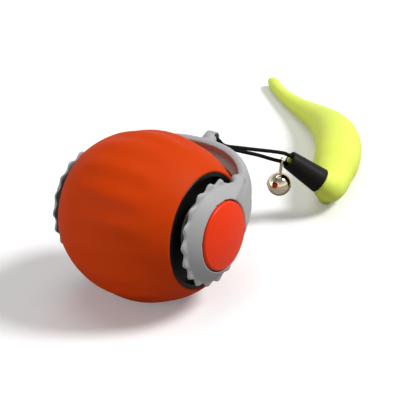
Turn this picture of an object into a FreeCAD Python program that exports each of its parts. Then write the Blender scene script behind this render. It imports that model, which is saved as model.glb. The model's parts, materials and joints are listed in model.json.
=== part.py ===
import FreeCAD, Part
import math
import os
from FreeCAD import Vector, Matrix

os.makedirs("parts", exist_ok=True)

# An automatic cat teaser ball: a ribbed ball that rolls on its own side axle, a bracket that
# holds the axle's ends and arches behind the ball, and a bell and a tail on an elastic cord.
# +X runs along the axle to the button, +Y to the rear where the tail lies, +Z is up.
# The origin is on the floor under the ball's centre. All lengths are in millimetres.

# Ball
BALL_RADIUS = 32.0            # to the rib crests, at the middle of the ball
BALL_LONGER = 3.4
BALL_HALF_LENGTH = BALL_RADIUS + BALL_LONGER    # half axis of the ellipse of its side view
COVER_WALL = 1.8
COVER_CUT = 10.0              # cut off each end of that ellipse by the round openings
COVER_END_X = BALL_HALF_LENGTH - COVER_CUT
RIB_COUNT = 18
RIB_DEPTH = 0.8
RIB_FADE = 9.0                # over this length the ribs fade out towards the openings
RIB_END_X = COVER_END_X - 6.4
RIB_FULL_X = RIB_END_X - RIB_FADE
DRUM_RADIUS = BALL_RADIUS - COVER_WALL          # black shell under the cover
DRUM_HALF_LENGTH = BALL_HALF_LENGTH + 0.8
DRUM_WALL = 1.8
DRUM_RIM_X = COVER_END_X - 0.2
RIM_WALL = 1.38
RECESS_RADIUS = DRUM_RADIUS * math.sqrt(1 - (DRUM_RIM_X / DRUM_HALF_LENGTH) ** 2) - RIM_WALL
RECESS_DEPTH = 3.2
WEB_OUT_X = DRUM_RIM_X - RECESS_DEPTH           # outer face of the drum's end wall
WEB_WALL = 1.8
LIP_LENGTH = 3.0              # the left shell's lip that enters the right shell
LIP_OUTER_WALL = 0.9
LIP_WALL = 1.35
FIT = 0.05                    # radial gap of running fits
GAP = 0.1                     # between moulded pieces that are put together

# Bearings and chassis
STUB_RADIUS = 8.5
STUB_BORE = 5.2
STUB_LENGTH = 6.3              # past the drum's end wall
STUB_END_X = WEB_OUT_X + STUB_LENGTH
BUSHING_WALL = 2.05
BUSHING_FLANGE = 1.6
BUSHING_FLANGE_T = 0.8

# Gears
MODULE = 0.7
PINION_TEETH = 12
PRESSURE_ANGLE = 20.0
RING_WIDTH = 2.6
RING_WALL = 2.4
RING_ROOM = 0.3                # least, from the ring's rim to the drum's wall
DRUM_INSIDE = (DRUM_RADIUS - DRUM_WALL) * math.sqrt(
    1 - ((WEB_OUT_X - WEB_WALL) / (DRUM_HALF_LENGTH - DRUM_WALL)) ** 2)
RING_TEETH = 2 * int((DRUM_INSIDE - RING_ROOM - RING_WALL) / MODULE - 1.25)
PINION_START_X = WEB_OUT_X - 4.6
PINION_WIDTH = 1.8
TOOTH_THINNING = 0.10         # taken off each pinion tooth at the pitch circle

# Motor, which hangs one centre distance of the internal gear pair below the axle
MOTOR_Z = -MODULE * (RING_TEETH - PINION_TEETH) / 2
SHOULDER_RADIUS = -MOTOR_Z - MODULE * (PINION_TEETH / 2 + 0.8) - 0.44   # clears the pinion
MOTOR_WIDTH = 12.0
MOTOR_HEIGHT = 10.0
GEARBOX_LENGTH = 9.0
MOTOR_SHAFT_RADIUS = 1.5

# Hanging chassis
CHASSIS_WALL = 1.6
CHASSIS_RADIUS = MOTOR_HEIGHT / 2 + 2.9 - MOTOR_Z
CHASSIS_HALF_LENGTH = WEB_OUT_X - 5.0
END_WALL_X = CHASSIS_HALF_LENGTH - CHASSIS_WALL
CHASSIS_TOP_Z = 9.0           # above the axle
WIRE_ROOM = 6.8                # along X, left free for the wires past the motor and the cell
MOTOR_CAN_LENGTH = 2 * END_WALL_X - GEARBOX_LENGTH - WIRE_ROOM

# Cell, board and weight
BATTERY_LENGTH = 2 * END_WALL_X - WIRE_ROOM
BATTERY_WIDTH = 26.0
BATTERY_HEIGHT = 6.5
BATTERY_END_X = 0.4 - END_WALL_X                 # left end
BATTERY_Z = MOTOR_Z + MOTOR_HEIGHT / 2 + 1.5     # underside
PAD_T = 0.8
SADDLE_T = 2.0
SADDLE_END_X = END_WALL_X - 2.4                  # right face of the right saddle
BOARD_T = 1.0
BOARD_HALF_LENGTH = END_WALL_X - 0.9
BOARD_HALF_WIDTH = CHASSIS_RADIUS - 5.6
BOARD_Z = 6.0
LEDGE_T = 1.8
LEDGE_Y = BOARD_HALF_WIDTH - 2.8                 # the board's rims rest on the ledges from here
WEIGHT_HALF_LENGTH = END_WALL_X - 2.4
WEIGHT_INNER_Y = -MOTOR_WIDTH / 2 - 1.4
WEIGHT_TOP_Z = BATTERY_Z - 1.4

# Bracket
ARCH_TILT = 20.0              # degrees above the horizontal
DISC_IN_X = STUB_END_X + 0.4   # inner face of the discs and of their teeth
DISC_EDGE_X = DISC_IN_X + 1.2  # outer face of the teeth
DISC_MIDDLE_X = DISC_IN_X + 3.1                 # the sloped face passes here at its middle
DISC_FACE_X = DISC_IN_X + 4.8  # crest of the sloped face, round the cap
LEG_FACE_X = DISC_FACE_X + 1.1                  # the legs' outer face stands proud of the crest
DISC_TIP_RADIUS = RECESS_RADIUS + 0.1
TOOTH_HEIGHT = 1.5
DISC_VALLEY_RADIUS = DISC_TIP_RADIUS - TOOTH_HEIGHT
DISC_MIDDLE_RADIUS = DISC_VALLEY_RADIUS - 2.8
DISC_STEP = 0.4               # ledge between the valleys and the sloped face
TOOTH_DRAFT = 0.9             # the teeth are this much lower at their outer face
TOOTH_PITCH = 20.0
FIRST_TOOTH = 71.5            # degrees, 0 to the rear and 90 up
TOOTH_COUNT = 12
HUB_FLOOR_X = STUB_END_X + GAP                  # the stub's end butts here
COLLAR_START_X = HUB_FLOOR_X - 3.8
COLLAR_WALL = 1.6
CAP_RADIUS = DISC_VALLEY_RADIUS - 5.9
CAP_GAP = 0.5
POCKET_FLOOR_X = DISC_IN_X + 1.9
ARCH_HALF_LENGTH = LEG_FACE_X + 0.3
ARCH_THICKNESS = 7.5
ARCH_POWER = 2.45             # roundness of the arch's outline, 2 is an ellipse
ARCH_CLEARANCE = 0.9          # between the ball and the arch
ARCH_REACH = BALL_RADIUS + ARCH_CLEARANCE + ARCH_THICKNESS
ARCH_HALF_HEIGHT = 4.4
ARCH_NECK_REACH = BALL_RADIUS - 5.0
ARCH_NECK_FLARE = 1.3         # the bar is this much higher each way at its neck
ARCH_ROUNDING = 2.0           # how far the rim's upper and lower edges draw back
ARCH_DRAFT = 1.0              # the leg narrows this much each way towards its outer face
POCKET_HALF_LENGTH = ARCH_HALF_LENGTH - 2.6     # the pockets leave a rim along the arch
POCKET_REACH = ARCH_REACH - 4.2
POCKET_START = BALL_RADIUS - 9.5
ARCH_WEB_HALF = 1.9
LUG_WIDTH = 4.4
LUG_RADIUS = 2.5
LUG_STAND = 4.4
LUG_REACH = ARCH_REACH + LUG_STAND
LUG_HEIGHT = -1.5
LUG_HOLE_RADIUS = 1.4
LUG_HOLE_MOUTH = 2.15          # the hole flares out to this radius at both ends
LUG_FLARE = 1.2

# Button
BUTTON_EDGE_X = DISC_FACE_X + 1.0                # where the domed face begins
BUTTON_TOP_X = BUTTON_EDGE_X + 1.7
CAP_EDGE_X = DISC_FACE_X + 0.2                   # the fixed left cap lies flatter
CAP_TOP_X = CAP_EDGE_X + 0.6
BUTTON_TRAVEL = 0.8
BUTTON_REST_GAP = 1.0
PLUNGER_RADIUS = 1.6
SWITCH_TRAVEL = 0.25
SPRING_WIRE = 0.5
SPRING_RADIUS = 2.9
SPRING_TURNS = 3.0
SPRING_END_TURNS = 0.75        # closed coils at each end
GUIDE_IN_X = HUB_FLOOR_X - 4.4
SWITCH_FACE_X = CHASSIS_HALF_LENGTH - 2.3
SWITCH_STEM_LENGTH = 0.8

# Charging socket
USB_WIDTH = 8.94
USB_HEIGHT = 3.26
USB_LENGTH = 7.3
USB_WALL = 0.3
CHARGE_BOARD_WIDTH = 10.6
CHARGE_BOARD_T = 0.8

# Cord, sleeve, bell and tail, in the row frame
CORD_DIAMETER = 1.5
SLEEVE_START = Vector(13.2, 74.4, 25.0)
SLEEVE_END = Vector(22.3, 81.9, 14.5)
SLEEVE_START_RADIUS = 3.75
SLEEVE_END_RADIUS = 5.1
SLEEVE_WALL = 0.8
STEM_RADIUS = 1.25
STEM_END_RADIUS = SLEEVE_END_RADIUS - SLEEVE_WALL - 0.15
SHOULDER_END_RADIUS = SLEEVE_END_RADIUS - 0.15   # the neck butts against the sleeve's end
NECK_END_RADIUS = 8.2           # the neck ends inside the body
BELL_RADIUS = 4.7
BELL_WALL = 0.4
BELL_DROP = 9.8               # from the wire eye's centre to the bell's centre
BELL_LEAN = 9.0               # degrees, the bell leans off the sleeve
BELL_BACK = 2.0                # the wire eye hangs this far before the sleeve's mouth
STRAND_BEND = 0.14             # there the lower strand has bent this far down
STRAND_DRIFT = 0.44            # and this far sideways, off its line in the sleeve
EYE_WIRE = 0.7
EYE_RADIUS = 1.55
PELLET_RADIUS = 1.3



def rib_radius(angle, depth):
    """Radius over the ribs; a crest lies at 0, to the rear."""
    return BALL_RADIUS - 0.5 * depth * (1 - math.cos(RIB_COUNT * angle))


# the ball rests on two neighbouring ribs
AXLE_Z = max(rib_radius(math.radians(a / 50), RIB_DEPTH) * math.sin(math.radians(a / 50))
             for a in range(50 * 70, 50 * 90))
X_AXIS = Vector(1, 0, 0)
ORIGIN = Vector(0, 0, 0)


def save(name, shape, on_axle=True):
    """Writes one piece. Pieces of the ball are drawn about the axle and lifted to its height."""
    if on_axle:
        shape = shape.copy()
        shape.translate(Vector(0, 0, AXLE_Z))
    shape.exportStep("parts/" + name + ".step")
    bb = shape.BoundBox
    print("%-16s solids %d volume %8.1f  x %6.1f %6.1f  y %6.1f %6.1f  z %6.1f %6.1f %s" % (
        name, len(shape.Solids), shape.Volume, bb.XMin, bb.XMax, bb.YMin, bb.YMax,
        bb.ZMin, bb.ZMax, "" if shape.isValid() else "INVALID"))


def join(first, *others):
    return first.multiFuse(list(others)).removeSplitter()


def disc_x(radius, x0, x1, y=0.0, z=0.0):
    """A cylinder along X from x0 to x1."""
    return Part.makeCylinder(radius, x1 - x0, Vector(x0, y, z), X_AXIS)


def ring_x(outer, inner, x0, x1, y=0.0, z=0.0):
    return disc_x(outer, x0, x1, y, z).cut(disc_x(inner, x0 - 1, x1 + 1, y, z))


def block(x0, x1, y0, y1, z0, z1):
    return Part.makeBox(x1 - x0, y1 - y0, z1 - z0, Vector(x0, y0, z0))


def mirrored(shape):
    return shape.mirror(ORIGIN, X_AXIS)


def turned_about_axle(shape, degrees):
    shape = shape.copy()
    shape.rotate(ORIGIN, X_AXIS, degrees)
    return shape


def ellipse_radius(radius, half_length, x):
    return radius * math.sqrt(1 - (x / half_length) ** 2)


def barrel(radius, half_length, x0, x1):
    """A solid of revolution about X whose side is an arc of an ellipse."""
    ellipse = Part.Ellipse(ORIGIN, half_length, radius)
    arc = ellipse.toShape(math.acos(x1 / half_length), math.acos(x0 / half_length))
    r0 = ellipse_radius(radius, half_length, x0)
    r1 = ellipse_radius(radius, half_length, x1)
    sides = [arc,
             Part.makeLine(Vector(x0, r0, 0), Vector(x0, 0, 0)),
             Part.makeLine(Vector(x0, 0, 0), Vector(x1, 0, 0)),
             Part.makeLine(Vector(x1, 0, 0), Vector(x1, r1, 0))]
    face = Part.Face(Part.Wire(Part.__sortEdges__(sides)))
    return face.revolve(ORIGIN, X_AXIS, 360)


def tube(points, radius, tightest=None):
    """A round tube along straight runs that are joined by tangent arcs."""
    edges = []
    last = points[0]
    radii = []
    for i in range(1, len(points) - 1):
        before, corner, after = points[i - 1], points[i], points[i + 1]
        u = (before - corner).normalize()
        v = (after - corner).normalize()
        half_turn = (math.pi - u.getAngle(v)) / 2
        run = min((before - corner).Length, (after - corner).Length)
        bend = 0.45 * run / math.tan(half_turn)
        if tightest:
            bend = min(bend, tightest)
        trim = bend * math.tan(half_turn)
        start = corner + u * trim
        end = corner + v * trim
        centre_way = (u + v).normalize()
        middle = corner + centre_way * (bend / math.cos(half_turn) - bend)
        edges.append(Part.makeLine(last, start))
        edges.append(Part.Arc(start, middle, end).toShape())
        radii.append(bend)
        last = end
    edges.append(Part.makeLine(last, points[-1]))
    path = Part.Wire(edges)
    way = (points[1] - points[0]).normalize()
    profile = Part.Wire(Part.makeCircle(radius, points[0], way))
    return path.makePipeShell([profile], True, True), path.Length, radii


def slanted(radius0, radius1, start, end):
    """A cone or cylinder between two points."""
    way = end - start
    if abs(radius0 - radius1) < 1e-6:
        return Part.makeCylinder(radius0, way.Length, start, way)
    return Part.makeCone(radius0, radius1, way.Length, start, way)


def ball_cover():
    """Silicone skin. Its outer face has soft ribs that run parallel to the axle."""
    stations = 23
    around = RIB_COUNT * 6
    steps = [k / around for k in range(around + 1)]
    sections = []
    for i in range(stations):
        x = -COVER_END_X + 2 * COVER_END_X * i / (stations - 1)
        fade = (RIB_END_X - abs(x)) / (RIB_END_X - RIB_FULL_X)
        fade = min(max(fade, 0.0), 1.0)
        depth = RIB_DEPTH * fade * fade * (3 - 2 * fade)
        row = []
        for k in range(around):
            a = 2 * math.pi * k / around
            r = ellipse_radius(BALL_RADIUS, BALL_HALF_LENGTH, x)
            r += rib_radius(a, depth) - BALL_RADIUS
            row.append(Vector(x, r * math.cos(a), r * math.sin(a)))
        curve = Part.BSplineCurve()
        curve.interpolate(Points=row, PeriodicFlag=True, Parameters=steps)
        sections.append(Part.Wire([curve.toShape()]))
    outer = Part.makeLoft(sections, True, False)
    hollow = barrel(DRUM_RADIUS, DRUM_HALF_LENGTH, -COVER_END_X - 1, COVER_END_X + 1)
    return outer.cut(hollow)


def drum_shell():
    """The right shell before the joint at the middle: outer wall, end wall and recess."""
    inner_radius = DRUM_RADIUS - DRUM_WALL
    inner_length = DRUM_HALF_LENGTH - DRUM_WALL
    web_in = WEB_OUT_X - WEB_WALL
    body = barrel(DRUM_RADIUS, DRUM_HALF_LENGTH, 0, DRUM_RIM_X)
    body = body.cut(barrel(inner_radius, inner_length, -1, web_in))
    body = body.cut(disc_x(RECESS_RADIUS, WEB_OUT_X, DRUM_RIM_X + 1))
    # a low ring that locates the gear
    seat = ring_x(ring_outer_radius() + 1.5, ring_outer_radius() + 0.03, web_in - 1.0, web_in + 0.2)
    seat = seat.common(barrel(DRUM_RADIUS - 0.5, DRUM_HALF_LENGTH, 0, DRUM_RIM_X))
    body = join(body, seat)
    return body.cut(disc_x(STUB_RADIUS + FIT + BUSHING_WALL, web_in - 2, WEB_OUT_X + 1))


def screw_angles(count):
    return [360.0 * k / count for k in range(count)]


def drum_screw_holes(radius, sink):
    """Six radial screw holes through the joint at the drum's middle."""
    head = slanted(sink, radius, Vector(LIP_LENGTH / 2, 0, DRUM_RADIUS - 0.1),
                   Vector(LIP_LENGTH / 2, 0, DRUM_RADIUS - 0.8))
    shank = Part.makeCylinder(radius, 2.2, Vector(LIP_LENGTH / 2, 0, DRUM_RADIUS - 2.3))
    one = join(shank, head)
    return [turned_about_axle(one, a + 30) for a in screw_angles(6)]


def drum_halves():
    right = drum_shell()
    left = mirrored(right)
    lip_outer = DRUM_RADIUS - LIP_OUTER_WALL
    right = right.cut(disc_x(lip_outer, -1, LIP_LENGTH + GAP))
    lip = ring_x(lip_outer - GAP, lip_outer - GAP - LIP_WALL, -2.0, LIP_LENGTH)
    foot = ring_x(DRUM_RADIUS - 0.4, lip_outer - GAP - LIP_WALL, -2.0, 0)
    left = join(left, lip, foot)
    screws = drum_screw_holes(0.8, 1.4)
    tool = Part.makeCompound(screws)
    opener = Part.makeCompound([turned_about_axle(
        Part.makeCylinder(1.4, 1.0, Vector(LIP_LENGTH / 2, 0, DRUM_RADIUS - 0.1)), a + 30)
        for a in screw_angles(6)])
    return left.cut(tool), right.cut(tool).cut(opener), tool


def bushing():
    web_in = WEB_OUT_X - WEB_WALL
    outer = STUB_RADIUS + FIT + BUSHING_WALL
    sleeve = disc_x(outer, web_in - BUSHING_FLANGE_T, WEB_OUT_X)
    flange = disc_x(outer + BUSHING_FLANGE, web_in - BUSHING_FLANGE_T, web_in)
    return join(sleeve, flange).cut(disc_x(STUB_RADIUS + FIT, 0, WEB_OUT_X + 1))


def involute(base, radius):
    """Polar angle of the involute of a base circle at a radius."""
    if radius <= base:
        return 0.0
    t = math.sqrt((radius / base) ** 2 - 1)
    return t - math.atan(t)


def gear_face(teeth, root, tip, thinning):
    """Outline of an external gear, its teeth's flanks as involutes."""
    pitch = MODULE * teeth / 2
    base = pitch * math.cos(math.radians(PRESSURE_ANGLE))
    half = math.pi / (2 * teeth) - thinning / (2 * pitch) + involute(base, pitch)
    steps = 5
    low = max(base, root)
    edges = []
    last = None
    first = None
    for k in range(teeth):
        centre = 2 * math.pi * k / teeth
        flank = []
        for i in range(steps + 1):
            r = low + (tip - low) * i / steps
            flank.append((r, half - involute(base, r)))
        rise = [Vector(0, r * math.cos(centre - a), r * math.sin(centre - a)) for r, a in flank]
        fall = [Vector(0, r * math.cos(centre + a), r * math.sin(centre + a)) for r, a in flank]
        a_root = half - involute(base, low)
        foot0 = Vector(0, root * math.cos(centre - a_root), root * math.sin(centre - a_root))
        foot1 = Vector(0, root * math.cos(centre + a_root), root * math.sin(centre + a_root))
        top = Vector(0, tip * math.cos(centre), tip * math.sin(centre))
        if last is not None:
            mid = centre - math.pi / teeth
            low_mid = Vector(0, root * math.cos(mid), root * math.sin(mid))
            edges.append(Part.Arc(last, low_mid, foot0).toShape())
        else:
            first = foot0
        if (rise[0] - foot0).Length > 1e-4:
            edges.append(Part.makeLine(foot0, rise[0]))
        rise_curve = Part.BSplineCurve()
        rise_curve.interpolate(rise)
        edges.append(rise_curve.toShape())
        edges.append(Part.Arc(rise[-1], top, fall[-1]).toShape())
        fall_curve = Part.BSplineCurve()
        fall_curve.interpolate(fall[::-1])
        edges.append(fall_curve.toShape())
        if (fall[0] - foot1).Length > 1e-4:
            edges.append(Part.makeLine(fall[0], foot1))
        last = foot1
    mid = 2 * math.pi - math.pi / teeth
    low_mid = Vector(0, root * math.cos(mid), root * math.sin(mid))
    edges.append(Part.Arc(last, low_mid, first).toShape())
    return Part.Face(Part.Wire(edges))


def ring_pitch_radius():
    return MODULE * RING_TEETH / 2


def ring_outer_radius():
    return ring_pitch_radius() + 1.25 * MODULE + RING_WALL


def ring_gear():
    """Internal gear: the tooth gaps have the outline of an external gear of as many teeth."""
    web_in = WEB_OUT_X - WEB_WALL
    gap = gear_face(RING_TEETH, ring_pitch_radius() - 0.6 * MODULE,
                    ring_pitch_radius() + 1.25 * MODULE, 0.0)
    # a tooth gap of the ring points straight down, where the pinion's tooth stands
    gap.rotate(ORIGIN, X_AXIS, 270)
    gap.translate(Vector(web_in - RING_WIDTH - 1, 0, 0))
    core = gap.extrude(Vector(RING_WIDTH + 2, 0, 0))
    return disc_x(ring_outer_radius(), web_in - RING_WIDTH, web_in).cut(core)


def motor_pinion():
    pitch = MODULE * PINION_TEETH / 2
    face = gear_face(PINION_TEETH, pitch - 1.25 * MODULE, pitch + 0.8 * MODULE, TOOTH_THINNING)
    face.rotate(ORIGIN, X_AXIS, 270)
    face.translate(Vector(PINION_START_X, 0, MOTOR_Z))
    gear = face.extrude(Vector(PINION_WIDTH, 0, 0))
    return gear.cut(disc_x(MOTOR_SHAFT_RADIUS, 0, 30, 0, MOTOR_Z))


def gear_motor():
    """Flat-sided gearbox and motor can, with the output shaft apart."""
    z = MOTOR_Z
    front = END_WALL_X
    joint = front - GEARBOX_LENGTH
    gearbox = block(joint, front, -MOTOR_WIDTH / 2, MOTOR_WIDTH / 2,
                    z - MOTOR_HEIGHT / 2, z + MOTOR_HEIGHT / 2)
    gearbox = gearbox.cut(disc_x(MOTOR_SHAFT_RADIUS + FIT, front - 1.2, front + 1, 0, z))
    for x in (joint + 2.4, joint + 4.8):
        gearbox = gearbox.cut(block(x, x + 1.2, -7, -4.8, z - 3.6, z + 3.6))
        gearbox = gearbox.cut(block(x, x + 1.2, 4.8, 7, z - 3.6, z + 3.6))
    back = joint - MOTOR_CAN_LENGTH
    can = disc_x(MOTOR_WIDTH / 2, back, joint, 0, z)
    can = can.common(block(back, joint, -7, 7, z - MOTOR_HEIGHT / 2, z + MOTOR_HEIGHT / 2))
    can = join(can, disc_x(2.2, back - 0.8, back, 0, z))
    shaft = disc_x(MOTOR_SHAFT_RADIUS, front - 1.1, PINION_START_X + PINION_WIDTH, 0, z)
    return gearbox, can, shaft


def boss_places():
    """Centres of the bosses whose screws join the chassis halves."""
    reach = CHASSIS_RADIUS - CHASSIS_WALL - 2.2
    return [(reach * math.cos(math.radians(a)), reach * math.sin(math.radians(a)))
            for a in (-5.0, 185.0, -50.0)]


def board_screw_places():
    x, y = BOARD_HALF_LENGTH - 3.5, BOARD_HALF_WIDTH - 1.6
    return [(-x, -y), (-x, y), (x, -y), (x, y)]


def chassis_body():
    """The whole hanging tub with its two hollow stub axles, before it is split."""
    reach = CHASSIS_HALF_LENGTH
    inner = CHASSIS_RADIUS - CHASSIS_WALL
    far = CHASSIS_RADIUS + 1
    top = block(-reach - 1, reach + 1, -far, far, CHASSIS_TOP_Z, far)
    tub = disc_x(CHASSIS_RADIUS, -reach, reach).cut(top)
    tub = tub.cut(disc_x(inner, -END_WALL_X, END_WALL_X))
    shoulder_end = WEB_OUT_X - WEB_WALL - BUSHING_FLANGE_T - GAP
    tub = join(tub,
               disc_x(STUB_RADIUS, reach - 0.5, STUB_END_X),
               disc_x(STUB_RADIUS, -STUB_END_X, -reach + 0.5),
               disc_x(SHOULDER_RADIUS, reach - 0.5, shoulder_end),
               disc_x(SHOULDER_RADIUS, -shoulder_end, -reach + 0.5))
    tub = tub.cut(disc_x(STUB_BORE, reach - 3, STUB_END_X + 1))
    tub = tub.cut(disc_x(STUB_BORE, -STUB_END_X - 1, -reach + 3))
    # saddles under the battery, cut out for the motor
    z = MOTOR_Z
    saddles = []
    for x in (8.0 + BATTERY_END_X, SADDLE_END_X - SADDLE_T):
        half = MOTOR_WIDTH / 2 + 1.2
        plate = block(x, x + SADDLE_T, -half, half, -far, BATTERY_Z - PAD_T)
        plate = plate.common(disc_x(inner + 0.5, x, x + SADDLE_T))
        motor_room = block(x - 1, x + 4, -MOTOR_WIDTH / 2 - GAP, MOTOR_WIDTH / 2 + GAP,
                           z - MOTOR_HEIGHT / 2 - GAP, z + MOTOR_HEIGHT / 2 + GAP)
        saddles.append(plate.cut(motor_room))
    # ledges under the circuit board
    ledge = block(-END_WALL_X - 0.5, END_WALL_X + 0.5, LEDGE_Y, far, BOARD_Z - LEDGE_T, BOARD_Z)
    ledge = ledge.common(disc_x(inner + 0.5, -END_WALL_X - 0.5, END_WALL_X + 0.5))
    tub = join(tub, ledge, ledge.mirror(ORIGIN, Vector(0, 1, 0)), *saddles)
    bosses = []
    for y, zz in boss_places():
        bosses.append(disc_x(2.4, -6.0, 6.0, y, zz).common(disc_x(inner + 0.5, -7, 7)))
    tub = join(tub, *bosses)
    # the motor's shaft passes the right end wall
    tub = tub.cut(disc_x(MOTOR_SHAFT_RADIUS + 0.3, END_WALL_X - 1, reach + 1, 0, z))
    # slots for the charge board in the left stub
    half = CHARGE_BOARD_WIDTH / 2
    slot_top = charge_board_top()
    tub = tub.cut(block(-STUB_END_X - 1, -reach + 3, -half - GAP / 2, half + GAP / 2,
                        slot_top - CHARGE_BOARD_T - GAP / 2, slot_top + GAP / 2))
    for y, zz in boss_places():
        tub = tub.cut(disc_x(0.8, -6.5, 6.5, y, zz))
        tub = tub.cut(disc_x(1.9, 4.6, 6.5, y, zz))
    for x, y in board_screw_places():
        tub = tub.cut(Part.makeCylinder(0.7, 5, Vector(x, y, BOARD_Z - 3)))
    for y, zz in hub_screw_places():
        tub = tub.cut(disc_x(0.8, STUB_END_X - 4.4, STUB_END_X + 1, y, zz))
        tub = tub.cut(disc_x(0.8, -STUB_END_X - 1, -STUB_END_X + 4.4, y, zz))
    return tub


def chassis_halves():
    tub = chassis_body()
    left = tub.common(block(-40, -GAP / 2, -40, 40, -40, 40))
    right = tub.common(block(GAP / 2, 40, -40, 40, -40, 40))
    screws = []
    for y, z in boss_places():
        screws.append(join(disc_x(0.8, -4.5, 4.7, y, z), disc_x(1.6, 4.6, 5.9, y, z)))
    return left, right, Part.makeCompound(screws)


def hub_screw_places():
    """Three screws at each end, through the bracket into the stub's end."""
    r = (STUB_RADIUS + STUB_BORE) / 2
    return [(r * math.cos(math.radians(a)), r * math.sin(math.radians(a))) for a in (90, 210, 330)]


def hub_screws():
    screws = []
    for y, z in hub_screw_places():
        shank = disc_x(0.8, STUB_END_X - 4.2, POCKET_FLOOR_X - 0.8, y, z)
        head = slanted(0.8, 1.7, Vector(POCKET_FLOOR_X - 1.0, y, z), Vector(POCKET_FLOOR_X, y, z))
        screws.append(join(shank, head))
    return Part.makeCompound(screws)


def arch_point(t, side, reach, power):
    c = math.cos(t)
    s = math.sin(t)
    x = side * math.copysign(abs(c) ** (2 / power), c)
    return Vector(x, reach * abs(s) ** (2 / power), 0)


def plan_wire(side, reach, height, low_y):
    """The arch's outline seen along its own upright, closed below at low_y."""
    count = 24
    points = [arch_point(math.pi * k / count, side, reach, ARCH_POWER) for k in range(count + 1)]
    curve = Part.BSplineCurve()
    curve.interpolate(points)
    right = Vector(side, low_y, 0)
    left = Vector(-side, low_y, 0)
    edges = [curve.toShape(), Part.makeLine(points[-1], left), Part.makeLine(left, right),
             Part.makeLine(right, points[0])]
    wire = Part.Wire(edges)
    wire.translate(Vector(0, 0, height))
    return wire


def plan_solid():
    """The outline over the whole height; its reach draws back above and below, as a round rim."""
    top = ARCH_HALF_HEIGHT
    heights = [0.0, 0.36 * top, 0.59 * top, 0.77 * top, 0.91 * top, top, 1.18 * top, 5.5 * top]
    sections = []
    for side in (-1, 1):
        rows = heights[:0:-1] if side < 0 else heights
        for height in rows:
            back = ARCH_ROUNDING * min((height / top) ** 4, 1.4)
            sections.append(plan_wire(ARCH_HALF_LENGTH, ARCH_REACH - back, side * height, -25.0))
    return Part.makeLoft(sections, True, True)


def side_wire(x, radius, half_height):
    """The disc, its leg and the arch seen along the axle: wide at the disc, slim at the eyelet."""
    a = math.radians(50)
    join_top = Vector(x, radius * math.cos(a), radius * math.sin(a))
    join_low = Vector(x, radius * math.cos(a), -radius * math.sin(a))
    far = ARCH_REACH + 2
    neck = Vector(x, ARCH_NECK_REACH, half_height + ARCH_NECK_FLARE)
    neck_low = Vector(x, ARCH_NECK_REACH, -half_height - ARCH_NECK_FLARE)
    way = Vector(0, math.sin(a), -math.cos(a))
    way_low = Vector(0, math.sin(a), math.cos(a))
    top = Part.BSplineCurve()
    top.interpolate(Points=[join_top, neck, Vector(x, far, half_height)],
                    Tangents=[way * 14, Vector(0, 12, -1.6), Vector(0, 12, 0)],
                    TangentFlags=[True, True, True])
    low = Part.BSplineCurve()
    low.interpolate(Points=[join_low, neck_low, Vector(x, far, -half_height)],
                    Tangents=[way_low * 14, Vector(0, 12, 1.6), Vector(0, 12, 0)],
                    TangentFlags=[True, True, True])
    arc = Part.Arc(join_top, Vector(x, -radius, 0), join_low).toShape()
    end = Part.makeLine(Vector(x, far, half_height), Vector(x, far, -half_height))
    return Part.Wire([arc, low.toShape(), end, top.toShape()])


def side_solid():
    """Between the teeth of both discs the full outline, outside them it narrows to the face."""
    h = ARCH_HALF_HEIGHT
    edge_radius = DISC_VALLEY_RADIUS - TOOTH_DRAFT / 2 - DISC_STEP
    full = side_wire(-DISC_EDGE_X, edge_radius, h)
    middle = Part.Face(full).extrude(Vector(2 * DISC_EDGE_X, 0, 0))
    ring = CAP_RADIUS + CAP_GAP + 0.5
    wires = [side_wire(DISC_EDGE_X, edge_radius, h),
             side_wire(DISC_MIDDLE_X, DISC_MIDDLE_RADIUS, h - 0.4 * ARCH_DRAFT),
             side_wire(DISC_FACE_X, ring, h - ARCH_DRAFT),
             side_wire(LEG_FACE_X, ring - 1.5, h - 1.6 * ARCH_DRAFT)]
    dome = Part.makeLoft(wires, True, False)
    return middle.multiFuse([dome, mirrored(dome)])


def disc_wire(x, lower):
    """Scalloped edge over the front of the disc, plain round where the arch's leg starts."""
    steps = 8
    count = int(round(360 / TOOTH_PITCH)) * steps
    first = FIRST_TOOTH - ARCH_TILT
    last = first + TOOTH_PITCH * (TOOTH_COUNT - 1)
    middle = (DISC_TIP_RADIUS + DISC_VALLEY_RADIUS - lower) / 2
    swing = middle - DISC_VALLEY_RADIUS + lower / 2
    points = []
    for k in range(count):
        a = first + 360.0 * k / count
        r = DISC_VALLEY_RADIUS - lower / 2
        if a <= last + TOOTH_PITCH / 2 or a >= first + 360 - TOOTH_PITCH / 2:
            r = middle + swing * math.cos(math.radians((a - first) * 360 / TOOTH_PITCH))
        points.append(Vector(x, r * math.cos(math.radians(a)), r * math.sin(math.radians(a))))
    curve = Part.BSplineCurve()
    curve.interpolate(Points=points, PeriodicFlag=True,
                      Parameters=[k / count for k in range(count + 1)])
    return Part.Wire([curve.toShape()])


def disc_plate():
    """The disc's toothed edge; its teeth get lower towards the outer face."""
    wires = [disc_wire(DISC_IN_X, 0.0), disc_wire(DISC_EDGE_X, TOOTH_DRAFT)]
    return Part.makeLoft(wires, True, True)


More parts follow.
